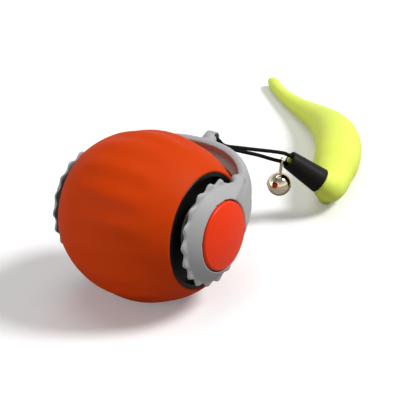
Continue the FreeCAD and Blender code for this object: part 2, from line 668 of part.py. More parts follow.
def bracket():
    """One moulding: a disc at each end, a leg from each disc and the arch with its eyelet."""
    body = side_solid().common(plan_solid())
    hollow = barrel(BALL_RADIUS + ARCH_CLEARANCE, BALL_HALF_LENGTH + ARCH_CLEARANCE,
                    -COVER_END_X - 0.9, COVER_END_X + 0.9)
    body = body.cut(hollow).cut(disc_x(DISC_TIP_RADIUS + 1.6, -DISC_IN_X, DISC_IN_X))
    plan = Part.Face(plan_wire(POCKET_HALF_LENGTH, POCKET_REACH, ARCH_WEB_HALF, -6.0))
    pocket = plan.extrude(Vector(0, 0, 20))
    pocket = pocket.common(block(-60, 60, POCKET_START, 60, 0, 40))
    body = body.cut(pocket).cut(pocket.mirror(ORIGIN, Vector(0, 0, 1)))
    ear = disc_x(LUG_RADIUS, -LUG_WIDTH / 2, LUG_WIDTH / 2, LUG_REACH, LUG_HEIGHT)
    foot = block(-LUG_WIDTH / 2, LUG_WIDTH / 2, ARCH_REACH - 2.5, LUG_REACH,
                 LUG_HEIGHT - LUG_RADIUS, LUG_HEIGHT + LUG_RADIUS)
    body = join(body, ear, foot)
    collar = disc_x(STUB_RADIUS + GAP + COLLAR_WALL, COLLAR_START_X, DISC_IN_X + 0.4)
    disc = join(disc_plate(), collar)
    body = body.fuse(disc).fuse(mirrored(disc))
    body = body.cut(disc_x(LUG_HOLE_RADIUS, -10, 10, LUG_REACH, LUG_HEIGHT))
    flare = slanted(LUG_HOLE_RADIUS, LUG_HOLE_MOUTH,
                    Vector(LUG_WIDTH / 2 - LUG_FLARE, LUG_REACH, LUG_HEIGHT),
                    Vector(LUG_WIDTH / 2 + 0.01, LUG_REACH, LUG_HEIGHT))
    body = body.cut(flare).cut(mirrored(flare))
    ring = CAP_RADIUS + CAP_GAP
    for way in (1, -1):
        tools = [disc_x(ring, POCKET_FLOOR_X, 50),
                 disc_x(STUB_RADIUS + GAP, COLLAR_START_X - 1, HUB_FLOOR_X),
                 disc_x(STUB_BORE, COLLAR_START_X, 50)]
        for y, z in hub_screw_places():
            tools.append(disc_x(0.8, HUB_FLOOR_X - 1, POCKET_FLOOR_X + 1, y, z))
            tools.append(slanted(0.8, 1.7, Vector(POCKET_FLOOR_X - 1.0, y, z),
                                 Vector(POCKET_FLOOR_X, y, z)))
        for tool in tools:
            tool = turned_about_axle(tool, -ARCH_TILT)
            body = body.cut(tool if way > 0 else mirrored(tool))
    for y, z in cap_peg_places():
        hole = turned_about_axle(disc_x(0.9, -POCKET_FLOOR_X - 1, -POCKET_FLOOR_X + 1.6, y, z),
                                 -ARCH_TILT)
        body = body.cut(hole)
    return turned_about_axle(body.removeSplitter(), ARCH_TILT)


def cap_dome(underside_x, edge_x, top_x, soft):
    """Round cap with a soft edge and a domed face."""
    r = CAP_RADIUS
    edge_in = Vector(edge_x, r - soft, 0)
    edge_out = Vector(edge_x - soft, r, 0)
    corner = Vector(edge_x - soft * 0.293, r - soft * 0.293, 0)
    top = Vector(top_x, 0, 0)
    sag = top_x - edge_x
    sphere = ((r - soft) ** 2 + sag ** 2) / (2 * sag)
    half = (r - soft) / 2
    between = Vector(top_x - sphere + math.sqrt(sphere ** 2 - half ** 2), half, 0)
    edges = [Part.makeLine(Vector(underside_x, 0, 0), Vector(underside_x, r, 0)),
             Part.makeLine(Vector(underside_x, r, 0), edge_out),
             Part.Arc(edge_out, corner, edge_in).toShape(),
             Part.Arc(edge_in, between, top).toShape(),
             Part.makeLine(top, Vector(underside_x, 0, 0))]
    return Part.Face(Part.Wire(edges)).revolve(ORIGIN, X_AXIS, 360)


def cap_underside():
    return POCKET_FLOOR_X + BUTTON_REST_GAP


def button():
    under = cap_underside()
    cap = cap_dome(under, BUTTON_EDGE_X, BUTTON_TOP_X, 1.0)
    cap = cap.cut(disc_x(PLUNGER_RADIUS, under - 1, under + 1.6))
    cap = cap.cut(ring_x(CAP_RADIUS - 1.6, 5.0, under - 1, under + 2.2))
    groove = GUIDE_IN_X - GAP - 0.6
    plunger = disc_x(PLUNGER_RADIUS, plunger_tip_x(), under + 1.6)
    plunger = plunger.cut(ring_x(3, 1.1, groove - 0.02, groove + 0.62))
    clip = ring_x(3.1, 1.1, groove, groove + 0.6)
    clip = clip.cut(block(groove - 1, groove + 1, -0.9, 0.9, 0, 5))
    return cap, plunger, clip


def plunger_tip_x():
    """The tip meets the switch's stem when both have made their travel."""
    stem_tip = SWITCH_FACE_X + SWITCH_STEM_LENGTH
    return stem_tip + BUTTON_TRAVEL - SWITCH_TRAVEL + 0.05


def button_guide():
    guide = disc_x(STUB_BORE - 0.02, GUIDE_IN_X, STUB_END_X - 0.3)
    return guide.cut(disc_x(PLUNGER_RADIUS + FIT, GUIDE_IN_X - 1, STUB_END_X + 1))


def button_spring():
    """Small compression spring between the guide and the cap, with closed end coils."""
    x0 = STUB_END_X - 0.3 + SPRING_WIRE / 2 + 0.02
    x1 = cap_underside() - SPRING_WIRE / 2 - 0.02
    closed = SPRING_END_TURNS * (SPRING_WIRE + 0.05)
    last_open = SPRING_END_TURNS + SPRING_TURNS
    points = []
    for i in range(int(round((last_open + SPRING_END_TURNS) * 12)) + 1):
        turn = i / 12
        if turn < SPRING_END_TURNS:
            x = x0 + closed * turn / SPRING_END_TURNS
        elif turn < last_open:
            x = x0 + closed + (x1 - x0 - 2 * closed) * (turn - SPRING_END_TURNS) / SPRING_TURNS
        else:
            x = x1 - closed + closed * (turn - last_open) / SPRING_END_TURNS
        angle = 2 * math.pi * turn
        points.append(Vector(x, SPRING_RADIUS * math.cos(angle), SPRING_RADIUS * math.sin(angle)))
    return tube(points, SPRING_WIRE / 2)[0]


def power_switch():
    body = block(SWITCH_FACE_X - 3.5, SWITCH_FACE_X, -3, 3, -3, 3)
    body = body.cut(disc_x(1.75, SWITCH_FACE_X - 1.6, SWITCH_FACE_X + 1))
    stem = disc_x(1.7, SWITCH_FACE_X - 1.2, SWITCH_FACE_X + SWITCH_STEM_LENGTH)
    board = block(SWITCH_FACE_X - 4.5, SWITCH_FACE_X - 3.5, -4, 4, -3.5, BOARD_Z)
    return body, stem, board


def cap_peg_places():
    return [(11 * math.cos(math.radians(a)), 11 * math.sin(math.radians(a)))
            for a in (30, 150, 270)]


def charge_board_top():
    return -USB_HEIGHT / 2


def usb_outline(x0, x1, width, height):
    """A slot-shaped bar along X with round ends."""
    r = height / 2
    flat = width / 2 - r
    bar = block(x0, x1, -flat, flat, -r, r)
    return join(bar, disc_x(r, x0, x1, flat, 0), disc_x(r, x0, x1, -flat, 0))


def left_end():
    """Fixed cap with the charging slot, the socket behind it and its small board."""
    cap = mirrored(cap_dome(POCKET_FLOOR_X, CAP_EDGE_X, CAP_TOP_X, 0.7))
    cap = cap.cut(mirrored(ring_x(CAP_RADIUS - 3.4, 7.6, POCKET_FLOOR_X - 1,
                                  CAP_EDGE_X - 1.2)))
    cap = cap.cut(mirrored(disc_x(6.2, POCKET_FLOOR_X - 1, CAP_EDGE_X - 0.9)))
    pegs = [disc_x(0.9, -POCKET_FLOOR_X - 2.4, -POCKET_FLOOR_X + 1.5, y, z)
            for y, z in cap_peg_places()]
    cap = join(cap, *pegs)
    slot = usb_outline(-CAP_TOP_X - 1, -CAP_TOP_X + 4, USB_WIDTH + 0.5, USB_HEIGHT + 0.5)
    cap = cap.cut(slot)
    mouth = -CAP_TOP_X + 0.9
    shell = usb_outline(mouth, mouth + USB_LENGTH, USB_WIDTH, USB_HEIGHT)
    hole = usb_outline(mouth - 1, mouth + USB_LENGTH - 0.6, USB_WIDTH - 2 * USB_WALL,
                       USB_HEIGHT - 2 * USB_WALL)
    tongue = block(mouth + 0.8, mouth + USB_LENGTH - 0.4, -3.3, 3.3, -0.35, 0.35)
    socket = join(shell.cut(hole), tongue)
    top = charge_board_top()
    half = CHARGE_BOARD_WIDTH / 2
    board = block(-STUB_END_X + 0.2, -END_WALL_X - 0.2, -half, half, top - CHARGE_BOARD_T, top)
    tongue = block(mouth + 4.0, -STUB_END_X + 0.3, -4.3, 4.3, top - CHARGE_BOARD_T, top)
    board = join(board, tongue)
    return cap, socket, board


def battery():
    """Foil-wrapped cell with two rounded ends on a foam pad."""
    half, top = BATTERY_WIDTH / 2, BATTERY_Z + BATTERY_HEIGHT
    cell = block(BATTERY_END_X, BATTERY_END_X + BATTERY_LENGTH, -half, half, BATTERY_Z, top)
    sides = [e for e in cell.Edges if abs(e.BoundBox.YLength - BATTERY_WIDTH) < 1e-6]
    cell = cell.makeFillet(1.6, sides)
    pad = block(BATTERY_END_X + 1, SADDLE_END_X, -6.5, 6.5, BATTERY_Z - PAD_T, BATTERY_Z)
    return cell, pad


def counterweight():
    far = CHASSIS_RADIUS
    blank = disc_x(far - CHASSIS_WALL - GAP, -WEIGHT_HALF_LENGTH, WEIGHT_HALF_LENGTH)
    return blank.common(block(-far, far, -far, WEIGHT_INNER_Y, -far, WEIGHT_TOP_Z))


def boards():
    half_length, half_width = BOARD_HALF_LENGTH, BOARD_HALF_WIDTH
    plate = block(-half_length, half_length, -half_width, half_width, BOARD_Z, BOARD_Z + BOARD_T)
    screws = []
    for x, y in board_screw_places():
        plate = plate.cut(Part.makeCylinder(0.75, 5, Vector(x, y, BOARD_Z - 1)))
        shank = Part.makeCylinder(0.7, 3.6, Vector(x, y, BOARD_Z - 2.5))
        head = Part.makeCylinder(1.4, 0.9, Vector(x, y, BOARD_Z + BOARD_T))
        screws.append(join(shank, head))
    top = BOARD_Z + BOARD_T
    chip = block(-3, 3, -3, 3, top, top + 1.0)
    driver = block(6, 10, -8, -3.2, top, top + 1.4)
    sensor = join(Part.makeCylinder(2.0, 5.5, Vector(-8.5, 8, top)),
                  Part.makeCylinder(2.3, 0.6, Vector(-8.5, 8, top)))
    return plate, Part.makeCompound(screws), chip, driver, sensor


def wire_pair(stations, radius=0.45):
    """Two insulated wires side by side. A station is a middle point and the step to one wire."""
    wires = []
    for way in (-1, 1):
        wires.append(tube([middle + step * way for middle, step in stations], radius)[0])
    return Part.makeCompound(wires)


def leads():
    """Wires of the battery, the motor and the charge board, all to the circuit board's underside."""
    under = BOARD_Z
    along = Vector(0.7, 0, 0)
    across = Vector(0, 0.7, 0)
    x, top = BATTERY_END_X + 7.0, BATTERY_Z + BATTERY_HEIGHT
    battery_leads = wire_pair([(Vector(x, 8.0, top), along), (Vector(x, 8.0, top + 2.7), along),
                               (Vector(x - 1.4, 9.2, under - 2.6), along),
                               (Vector(x - 1.4, 9.2, under), along)])
    # the motor's wires pass beside the battery
    back = END_WALL_X - GEARBOX_LENGTH - MOTOR_CAN_LENGTH
    low = MOTOR_Z + 1.0
    side = BATTERY_WIDTH / 2 + 1.6
    end_y = LEDGE_Y - 2.2
    motor_leads = wire_pair([(Vector(back, 4.2, low), Vector(0, -0.25, 0.65)),
                             (Vector(back - 2.6, 4.2, low), Vector(0, -0.25, 0.65)),
                             (Vector(back - 3.2, side - 3.4, low + 1.4), Vector(0.4, -0.2, 0.45)),
                             (Vector(back - 2.8, side, BATTERY_Z - 1.4), along),
                             (Vector(back - 3.0, side, under - 4.4), along),
                             (Vector(back - 2.6, end_y, under - 2.6), along),
                             (Vector(back - 2.6, end_y, under), along)])
    x, low = -END_WALL_X - 1.2, charge_board_top()
    charge_leads = wire_pair([(Vector(x, 2.6, low), across), (Vector(x, 2.6, low + 2.2), across),
                              (Vector(x + 3.8, 3.4, low + 3.8), across),
                              (Vector(x + 3.8, 3.4, under), across)])
    return battery_leads, motor_leads, charge_leads


def sleeve_way():
    return (SLEEVE_END - SLEEVE_START).normalize()


def strand_offset():
    """From the sleeve's axis up to the cord's upper strand, square to the axis."""
    way = sleeve_way()
    up = Vector(0, 0, 1)
    up = up - way * up.dot(way)
    return up.normalize() * (STEM_RADIUS + CORD_DIAMETER / 2 + 0.02)


def eyelet_centre():
    a = math.radians(ARCH_TILT)
    y = LUG_REACH * math.cos(a) - LUG_HEIGHT * math.sin(a)
    z = LUG_REACH * math.sin(a) + LUG_HEIGHT * math.cos(a)
    return Vector(0, y, AXLE_Z + z)


def cord_points():
    """One strand from inside the sleeve to the eyelet, through it, and the other one back."""
    way = sleeve_way()
    off = strand_offset()
    eye = eyelet_centre()
    side = LUG_WIDTH / 2 + CORD_DIAMETER / 2 + 0.1
    upper = [SLEEVE_START + way * 7.0 + off, SLEEVE_START - way * 1.5 + off,
             Vector(12.2, 66.2, 31.9), Vector(8.9, 58.0, 35.6), Vector(5.6, 50.2, 39.2),
             eye + Vector(side + 0.5, 2.5, -2.9)]
    turn = [eye + Vector(side, 0, 0), eye - Vector(side, 0, 0)]
    lower = [eye + Vector(-side - 0.1, 2.4, -3.0), Vector(-0.3, 48.6, 39.2),
             Vector(3.6, 55.5, 34.8), Vector(7.0, 62.4, 31.0), Vector(10.1, 68.9, 26.6),
             SLEEVE_START - way * 1.5 - off, SLEEVE_START + way * 7.0 - off]
    return upper + turn + lower


def cord():
    points = cord_points()
    solid, length, radii = tube(points, CORD_DIAMETER / 2)
    section = math.pi * CORD_DIAMETER ** 2 / 4
    print("cord length %.1f, volume over section times length %.4f" %
          (length, solid.Volume / (section * length)))
    print("cord arc radii", [round(r, 1) for r in radii])
    return solid


def cord_sleeve():
    outer = slanted(SLEEVE_START_RADIUS, SLEEVE_END_RADIUS, SLEEVE_START, SLEEVE_END)
    way = sleeve_way()
    bore = slanted(SLEEVE_START_RADIUS - SLEEVE_WALL, SLEEVE_END_RADIUS - SLEEVE_WALL,
                   SLEEVE_START - way * 0.01, SLEEVE_END + way * 0.01)
    return outer.cut(bore)


def rings_along(stations, first_angles, last_angles):
    """Circles square to a line of (centre, radius), with a rounded start and end."""
    wires = []
    count = len(stations)
    for i, (centre, radius) in enumerate(stations):
        before = stations[max(i - 1, 0)][0]
        after = stations[min(i + 1, count - 1)][0]
        way = (after - before).normalize()
        angles = [0]
        if i == 0:
            angles = first_angles
        if i == count - 1:
            angles = last_angles
        for angle in angles:
            a = math.radians(angle)
            place = centre + way * (radius * math.sin(a))
            wire = Part.Wire(Part.makeCircle(radius * math.cos(a), ORIGIN, Vector(0, 1, 0)))
            wire.Placement = FreeCAD.Placement(place, FreeCAD.Rotation(Vector(0, 1, 0), way))
            wires.append(wire)
    return wires


def tail():
    """Silicone tail: a thin stem, a neck that bends into the round-heeled body, a thin tip."""
    stations = [(Vector(19.45, 89.74, 3.45), 3.4), (Vector(17.72, 94.59, 5.95), 5.9),
                (Vector(16.71, 99.05, 7.9), 7.8), (Vector(15.2, 103.78, 9.1), 9.0),
                (Vector(12.9, 109.2, 9.5), 9.4),
                (Vector(7.7, 118.7, 9.55), 9.45), (Vector(-2.0, 131.0, 8.6), 8.6),
                (Vector(-11.0, 139.5, 7.1), 7.1), (Vector(-19.5, 145.7, 5.8), 5.8),
                (Vector(-27.0, 150.4, 4.8), 4.8), (Vector(-35.0, 155.2, 3.94), 3.9),
                (Vector(-44.0, 160.8, 3.24), 3.2), (Vector(-53.0, 167.2, 2.85), 2.7),
                (Vector(-61.5, 174.4, 2.65), 2.2)]
    body = Part.makeLoft(rings_along(stations, (-82, -60, -35, 0), (0, 35, 62, 82)), True, False)
    way = sleeve_way()
    bend = [(SLEEVE_END + way * FIT, SHOULDER_END_RADIUS), (SLEEVE_END + way * 2.6, 5.5),
            (Vector(23.6, 85.5, 10.7), 6.15), (Vector(22.2, 88.4, 9.4), 6.8),
            (Vector(20.6, 91.8, 8.9), 7.4), (Vector(18.9, 95.4, 8.8), 7.9),
            (Vector(15.2, 103.78, 9.1), NECK_END_RADIUS)]
    neck = Part.makeLoft(rings_along(bend, (0,), (0,)), True, True)
    tuck = SLEEVE_START - way * 0.6
    thin_end = SLEEVE_START + way * 7.6
    stem = Part.makeCylinder(STEM_RADIUS, (thin_end - tuck).Length + 0.2, tuck, way)
    flare = slanted(STEM_RADIUS, STEM_END_RADIUS, thin_end, SLEEVE_END - way * 1.0)
    root = slanted(STEM_END_RADIUS, STEM_END_RADIUS + 0.05, SLEEVE_END - way * 1.0,
                   SLEEVE_END + way * 2.0)
    return body.fuse(neck).fuse(stem.fuse(flare).fuse(root))


def bell_frame():
    """Places a bell that is drawn hanging from the origin along -Z."""
    way = sleeve_way()
    down = strand_offset().normalize()
    eye = (SLEEVE_START - strand_offset() - way * BELL_BACK - down * STRAND_BEND
           + way.cross(down) * STRAND_DRIFT)
    side = Vector(-way.x, -way.y, 0).normalize()
    return eye, side


def hang(shape):
    eye, side = bell_frame()
    shape = shape.copy()
    hinge = Vector(0, 0, 1).cross(side)
    turn = math.degrees(math.atan2(side.y, side.x))
    shape.rotate(ORIGIN, Vector(0, 0, 1), turn)
    shape.rotate(ORIGIN, hinge, -BELL_LEAN)
    shape.translate(eye)
    return shape


def bell():
    centre = Vector(0, 0, -BELL_DROP)
    ball = Part.makeSphere(BELL_RADIUS, centre)
    seam = Part.makeCylinder(BELL_RADIUS + 0.25, 0.5, centre + Vector(0, 0, -0.25))
    shell = join(ball, seam).cut(Part.makeSphere(BELL_RADIUS - BELL_WALL, centre))
    low_cut = Part.makeBox(20, 20, 20, centre + Vector(-10, -10, 0))
    high_cut = Part.makeBox(20, 20, 20, centre + Vector(-10, -10, -20))
    lower = shell.cut(low_cut)
    upper = shell.cut(high_cut)
    slot = Part.makeBox(20, 0.9, 5, centre + Vector(-10, -0.45, -BELL_RADIUS - 1))
    slot = slot.common(Part.makeBox(6.4, 4, 6, centre + Vector(-3.2, -2, -BELL_RADIUS - 1)))
    eyes = [Part.makeCylinder(0.9, 4, centre + Vector(x, 0, -BELL_RADIUS - 1)) for x in (-3.2, 3.2)]
    lower = lower.cut(join(slot, *eyes))
    # wire eye: a stretched loop whose two legs enter the bell's top
    r = EYE_RADIUS
    foot = -BELL_DROP + BELL_RADIUS - 0.45
    legs = [Vector(0, -r, foot), Vector(0, -r, 0)], [Vector(0, r, 0), Vector(0, r, foot)]
    path = Part.Wire([Part.makeLine(*legs[0]),
                      Part.Arc(Vector(0, -r, 0), Vector(0, 0, r), Vector(0, r, 0)).toShape(),
                      Part.makeLine(*legs[1])])
    profile = Part.Wire(Part.makeCircle(EYE_WIRE / 2, Vector(0, -r, foot), Vector(0, 0, 1)))
    loop = path.makePipeShell([profile], True, True)
    upper = upper.cut(loop)
    pellet = Part.makeSphere(PELLET_RADIUS, centre + Vector(
        0, 0, -(BELL_RADIUS - BELL_WALL - PELLET_RADIUS - 0.05)))
    return [hang(s) for s in (upper, lower, loop, pellet)]


def main():
    save("ball_cover", ball_cover())
    left, right, screws = drum_halves()
    save("drum_left_half", left)
    save("drum_right_half", right)
    save("drum_screws", screws)
    save("ring_gear", ring_gear())
    save("right_bushing", bushing())
    save("left_bushing", mirrored(bushing()))

    left, right, screws = chassis_halves()
    save("chassis_left", left)
    save("chassis_right", right)
    save("chassis_screws", screws)
    gearbox, can, shaft = gear_motor()
    save("gearbox", gearbox)
    save("motor_can", can)
    save("motor_shaft", shaft)
    save("motor_pinion", motor_pinion())
    cell, pad = battery()
    save("battery_cell", cell)
    save("battery_pad", pad)
    save("counterweight", counterweight())
    plate, screws, chip, driver, sensor = boards()
    save("circuit_board", plate)
    save("board_screws", screws)
    save("control_chip", chip)
    save("motor_driver", driver)
    save("motion_sensor", sensor)
    battery_leads, motor_leads, charge_leads = leads()
    save("battery_leads", battery_leads)
    save("motor_leads", motor_leads)
    save("charge_leads", charge_leads)

    save("bracket", bracket())
    screws = hub_screws()
    save("right_hub_screws", screws)
    save("left_hub_screws", mirrored(screws))

    cap, plunger, clip = button()
    save("button_cap", cap)
    save("button_plunger", plunger)
    save("plunger_clip", clip)
    save("button_guide", button_guide())
    save("button_spring", button_spring())
    body, stem, board = power_switch()
    save("power_switch", body)
    save("switch_stem", stem)
    save("switch_board", board)

    cap, socket, board = left_end()
    save("left_cap", cap)
    save("usb_socket", socket)
    save("charge_board", board)

    save("cord_loop", cord(), on_axle=False)
    save("cord_sleeve", cord_sleeve(), on_axle=False)
    save("tail", tail(), on_axle=False)
    upper, lower, loop, pellet = bell()
    save("bell_upper", upper, on_axle=False)
    save("bell_lower", lower, on_axle=False)
    save("bell_loop", loop, on_axle=False)
    save("bell_pellet", pellet, on_axle=False)


main()
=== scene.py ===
import json
import math

import bpy
from mathutils import Matrix, Vector

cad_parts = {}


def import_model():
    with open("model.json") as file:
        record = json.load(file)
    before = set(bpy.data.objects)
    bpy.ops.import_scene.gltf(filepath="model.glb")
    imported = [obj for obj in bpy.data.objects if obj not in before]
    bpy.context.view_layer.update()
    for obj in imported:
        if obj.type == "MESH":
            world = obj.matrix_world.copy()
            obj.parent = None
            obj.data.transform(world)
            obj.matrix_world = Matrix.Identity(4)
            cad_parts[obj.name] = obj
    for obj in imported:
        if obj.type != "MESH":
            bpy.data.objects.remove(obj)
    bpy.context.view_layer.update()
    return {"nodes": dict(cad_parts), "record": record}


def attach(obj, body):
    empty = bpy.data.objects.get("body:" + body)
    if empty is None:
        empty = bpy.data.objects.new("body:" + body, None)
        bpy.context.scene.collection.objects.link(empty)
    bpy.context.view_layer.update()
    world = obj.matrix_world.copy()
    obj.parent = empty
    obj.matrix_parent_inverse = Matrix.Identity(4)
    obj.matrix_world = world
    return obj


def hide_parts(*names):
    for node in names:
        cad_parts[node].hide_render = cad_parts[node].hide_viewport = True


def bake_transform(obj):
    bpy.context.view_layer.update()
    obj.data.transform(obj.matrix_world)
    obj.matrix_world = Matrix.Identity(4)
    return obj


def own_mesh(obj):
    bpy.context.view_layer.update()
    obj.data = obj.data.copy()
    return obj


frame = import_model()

nodes = frame["nodes"]
scene = bpy.context.scene
MM = 0.001

# The camera stands where the photograph was taken from. Angles are in degrees.
CAMERA_AZIMUTH = 36.8
CAMERA_ELEVATION = 27.0
CAMERA_ROLL = -4.3
CAMERA_DEPTH = 0.864          # from the camera to the ball's middle, along the view
FOCAL_PIXELS = 2334.0
FRAME_PIXELS = 400.0
SENSOR_MM = 36.0
BALL_PIXEL = (149.0, 215.9)   # where the ball's middle shows
BALL_CENTRE = Vector((0.0, 0.0, 0.03161))

# Sizes taken from the part, in metres
BALL_RADIUS = 0.032
BALL_HALF_LENGTH = 0.0354
COVER_END_X = 0.0254
COVER_WALL = 0.0018
RIB_COUNT = 18
RIB_END_X = 0.0190            # the ribs fade out from RIB_FULL_X to here
RIB_FULL_X = 0.0100
SLEEVE_START = Vector((0.0132, 0.0744, 0.0250))
SLEEVE_END = Vector((0.0223, 0.0819, 0.0145))
SLEEVE_START_RADIUS = 0.00375
SLEEVE_END_RADIUS = 0.0051
SLEEVE_WALL = 0.0008
SLEEVE_WAY = (SLEEVE_END - SLEEVE_START).normalized()
EYELET = Vector((0.0, 0.04261, 0.04553))
ARCH_TILT = math.radians(20.0)
CORD_DIAMETER = 0.0015
CORD_END_DEPTH = 0.007        # both ends lie this deep in the sleeve
CORD_LEAD = 0.0015            # they are still straight this far before its mouth
STRAND_OFFSET = 0.00202       # from the sleeve's axis to the middle of each strand

# The scene's own sizes, in metres
GROOVE_DEPTH = 0.00055        # between two ribs of the cover
COVER_RIM_ROUND = 0.0005
SLEEVE_RIM_ROUND = 0.00025
FLOOR_SIZE = 6.0
FLOOR_Z = -0.00005

# How finely a solid's copy is gridded, and how often it is smoothed, to round its edges
BRACKET_GRID_MM, BRACKET_PASSES = 0.40, 6
TAIL_GRID_MM, TAIL_PASSES = 0.6, 8

# Light. The floor throws back less of the lamps' light than the camera sees, and the world is
# dimmer as a light than as a background.
FLOOR_BOUNCE = 0.39
FLOOR_SEEN = 0.92
FLOOR_GLOW = 0.16
WORLD_LIGHT = 0.16
WORLD_SEEN = 1.0
MIRRORED_HORIZON = 1.0        # up to HORIZON_END, as the height of a view's unit vector
MIRRORED_TOP = 0.25           # from TOP_START on
HORIZON_END = 0.15
TOP_START = 0.75


def put_camera():
    azimuth, elevation = math.radians(CAMERA_AZIMUTH), math.radians(CAMERA_ELEVATION)
    roll = math.radians(CAMERA_ROLL)
    ahead = Vector((-math.sin(azimuth) * math.cos(elevation),
                    math.cos(azimuth) * math.cos(elevation), -math.sin(elevation)))
    level = Vector((math.cos(azimuth), math.sin(azimuth), 0.0))
    above = level.cross(ahead)
    right = level * math.cos(roll) + above * math.sin(roll)
    up = above * math.cos(roll) - level * math.sin(roll)
    across = (BALL_PIXEL[0] - FRAME_PIXELS / 2) / FOCAL_PIXELS * CAMERA_DEPTH
    upward = (FRAME_PIXELS / 2 - BALL_PIXEL[1]) / FOCAL_PIXELS * CAMERA_DEPTH
    place = BALL_CENTRE - right * across - up * upward - ahead * CAMERA_DEPTH
    data = bpy.data.cameras.new("photo_camera")
    data.sensor_width = SENSOR_MM
    data.lens = FOCAL_PIXELS / FRAME_PIXELS * SENSOR_MM
    data.clip_start = 0.05
    data.clip_end = 20.0
    camera = bpy.data.objects.new("photo_camera", data)
    scene.collection.objects.link(camera)
    matrix = Matrix((right, up, -ahead)).transposed().to_4x4()
    matrix.translation = place
    camera.matrix_world = matrix
    scene.camera = camera


put_camera()


def linear(code):
    """An sRGB hex colour as the linear colour that shaders take."""
    parts = [int(code[i:i + 2], 16) / 255 for i in (1, 3, 5)]
    return [c / 12.92 if c <= 0.04045 else ((c + 0.055) / 1.055) ** 2.4 for c in parts] + [1.0]


def add(tree, kind, settings=None, **sockets):
    """Adds a node. A socket's value is a number, a colour or another node's output."""
    made = tree.nodes.new(kind)
    for name, value in (settings or {}).items():
        setattr(made, name, value)
    for name, value in sockets.items():
        by_number = name[0] == "n" and name[1:].isdigit()
        socket = made.inputs[int(name[1:]) if by_number else name.replace("_", " ")]
        if isinstance(value, bpy.types.NodeSocket):
            tree.links.new(value, socket)
        else:
            socket.default_value = value
    return made


def material(name):
    made = bpy.data.materials.new(name)
    made.use_nodes = True
    tree = made.node_tree
    tree.nodes.clear()
    shader = add(tree, "ShaderNodeBsdfPrincipled")
    out = add(tree, "ShaderNodeOutputMaterial")
    tree.links.new(shader.outputs[0], out.inputs["Surface"])
    spot = add(tree, "ShaderNodeTexCoord")
    return made, tree, shader, spot.outputs["Object"]


def moulded(name, colour, darker, roughness, grain_mm, grain_height_mm, specular=0.5,
            cloud_mm=9.0, scatter=0.0, scatter_mm=0.5, tint=(1.0, 0.4, 0.2)):
    """A moulded surface: the even grain of the tool's wall over very slight clouding."""
    made, tree, shader, place = material(name)
    cloud = add(tree, "ShaderNodeTexNoise", Vector=place, Scale=1000.0 / cloud_mm, Detail=3.0,
                Roughness=0.55)
    mix = add(tree, "ShaderNodeMix", {"data_type": "RGBA"}, n0=cloud.outputs[0],
              n6=linear(darker), n7=linear(colour))
    tree.links.new(mix.outputs[2], shader.inputs["Base Color"])
    grain = add(tree, "ShaderNodeTexNoise", Vector=place, Scale=1000.0 / grain_mm, Detail=2.0,
                Roughness=0.6)
    rough = add(tree, "ShaderNodeMapRange", Value=grain.outputs[0], n3=roughness - 0.05,
                n4=roughness + 0.05)
    tree.links.new(rough.outputs[0], shader.inputs["Roughness"])
    bump = add(tree, "ShaderNodeBump", Strength=1.0, Distance=grain_height_mm * MM,
               Height=grain.outputs[0])
    tree.links.new(bump.outputs[0], shader.inputs["Normal"])
    shader.inputs["Specular IOR Level"].default_value = specular
    if scatter:
        shader.inputs["Subsurface Weight"].default_value = scatter
        shader.inputs["Subsurface Scale"].default_value = scatter_mm * MM
        shader.inputs["Subsurface Radius"].default_value = tint
    return made


def plated(name, colour, roughness, brushed_mm=None):
    """Bare or plated metal. A brushed one has fine streaks, a polished one a faint ripple."""
    made, tree, shader, place = material(name)
    shader.inputs["Base Color"].default_value = linear(colour)
    shader.inputs["Metallic"].default_value = 1.0
    if brushed_mm:
        stretch = add(tree, "ShaderNodeMapping", Vector=place, Scale=(0.06, 1.0, 1.0))
        streak = add(tree, "ShaderNodeTexNoise", Vector=stretch.outputs[0],
                     Scale=1000.0 / brushed_mm, Detail=3.0)
        height = 0.012
    else:
        streak = add(tree, "ShaderNodeTexNoise", Vector=place, Scale=1000.0 / 2.5, Detail=2.0)
        height = 0.004
    rough = add(tree, "ShaderNodeMapRange", Value=streak.outputs[0],
                n3=max(roughness - 0.04, 0.02), n4=roughness + 0.04)
    tree.links.new(rough.outputs[0], shader.inputs["Roughness"])
    bump = add(tree, "ShaderNodeBump", Strength=0.6, Distance=height * MM,
               Height=streak.outputs[0])
    tree.links.new(bump.outputs[0], shader.inputs["Normal"])
    return made


# The real grain of a moulded wall is about 0.1 mm and too fine to show at the photograph's
# size, so every moulded finish draws it a few times coarser.

# Silicone from a blasted tool: deep orange and matt, a broad soft sheen and no mirror image
silicone_orange = moulded("orange_silicone_moulded", "#d54104", "#cd3d03", 0.55, 0.40, 0.012,
                          specular=0.07)
# Silicone with a powdery face: lemon to lime, lit a little from inside at its thin tip
silicone_lime = moulded("lime_silicone_moulded", "#effe6a", "#e8f961", 0.50, 0.40, 0.010,
                        specular=0.20, scatter=0.15, scatter_mm=1.5, tint=(0.9, 1.0, 0.35))
# Rubber: almost black and matt, so only its edges catch a grey line of light
rubber_black = moulded("black_rubber_moulded", "#161512", "#100f0d", 0.50, 0.30, 0.012,
                       specular=0.14)
# Woven elastic: black and dull, the weave seen as a fine unevenness
elastic_black = moulded("black_elastic_woven", "#101010", "#0a0a09", 0.62, 0.45, 0.050,
                        specular=0.10, cloud_mm=1.2)
# Black ABS inside the openings: dark enough to read as a hole, with a dim shine on its edge
abs_black = moulded("black_abs_moulded", "#0c0a09", "#080706", 0.42, 0.25, 0.008,
                    specular=0.30)
# Mid grey ABS with a fine even grain that spreads the light without a hard shine
abs_grey = moulded("grey_abs_moulded", "#b0b0b0", "#ababab", 0.50, 0.25, 0.008,
                   specular=0.22)
